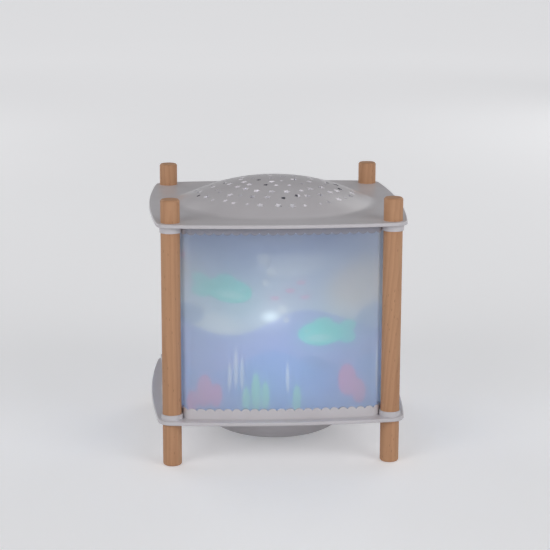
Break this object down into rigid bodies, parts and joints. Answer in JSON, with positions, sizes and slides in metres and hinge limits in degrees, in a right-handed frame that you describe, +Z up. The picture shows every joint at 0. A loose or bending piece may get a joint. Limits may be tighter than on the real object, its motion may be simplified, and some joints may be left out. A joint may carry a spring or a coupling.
{
  "type": "rotating motion lamp",
  "caption": "Table lamp with beech corner posts, two white plates, a pierced dome and a translucent screen round a printed drum that turns in the bulb's warm air.",
  "frame": {"origin": "centre of the four feet on the floor", "axes": "+Z up, -Y towards the front, +X to the right as seen from the front"},
  "size_m": [0.165, 0.165, 0.1731],
  "materials": {
    "beech": "fine-sanded, unvarnished",
    "white_plastic": "satin",
    "screen_film": "frosted translucent film",
    "drum_print": "printed translucent film",
    "ring_plastic": "satin",
    "aluminium": "mill",
    "brass": "bright",
    "steel_wire": "drawn",
    "steel": "zinc plated",
    "nickel": "nickel plated",
    "bulb_glass": "clear",
    "filament": "wire",
    "ceramic": "unglazed",
    "black_plastic": "moulded",
    "lead_insulation": "matt"
  },
  "bodies": {
    "root": {"foot_front_left": "beech", "foot_front_right": "beech", "foot_back_left": "beech", "foot_back_right": "beech", "post_front_left": "beech", "post_front_right": "beech", "post_back_left": "beech", "post_back_right": "beech", "base_plate": "white_plastic", "base_bowl": "white_plastic", "screen_film": "screen_film", "needle_hoop": "steel_wire", "needle": "brass", "lampholder_body": "ceramic", "lampholder_shell": "brass", "lampholder_spring": "brass", "inlet_jack": "black_plastic", "inlet_pin": "nickel", "inlet_nut": "nickel", "inner_leads": "lead_insulation", "post_studs": "steel", "bowl_screws": "steel", "lampholder_screws": "steel"},
    "lid": {"top_plate": "white_plastic", "finial_screws": "steel", "finial_front_left": "beech", "finial_front_right": "beech", "finial_back_left": "beech", "finial_back_right": "beech"},
    "drum": {"drum_film": "drum_print", "drum_top_ring": "ring_plastic", "drum_bottom_ring": "ring_plastic", "vane_wheel": "aluminium", "pivot_cup": "brass"},
    "bulb_tip": {"bulb_contact": "brass"},
    "bulb": {"bulb_glass": "bulb_glass", "bulb_cap": "nickel", "bulb_filament": "filament"}
  },
  "joints": [
    {"name": "lid_lift", "type": "slide", "parent": "root", "child": "lid", "axis": [0, 0, 1], "range_m": [0, 0.05]},
    {"name": "drum_spin", "type": "hinge", "parent": "root", "child": "drum", "pos_m": [0, 0, 0.143], "axis": [0, 0, 1], "continuous": true},
    {"name": "bulb_rise", "type": "slide", "parent": "root", "child": "bulb_tip", "axis": [0, 0, 1], "range_m": [0, 0.0113]},
    {"name": "bulb_turn", "type": "hinge", "parent": "bulb_tip", "child": "bulb", "pos_m": [0, 0, 0.0695], "axis": [0, 0, 1], "range_deg": [0, 1440]}
  ],
  "couplings": [
    {"joint": "bulb_rise", "follows": "bulb_turn", "m_per_rad": 0.00044882}
  ]
}
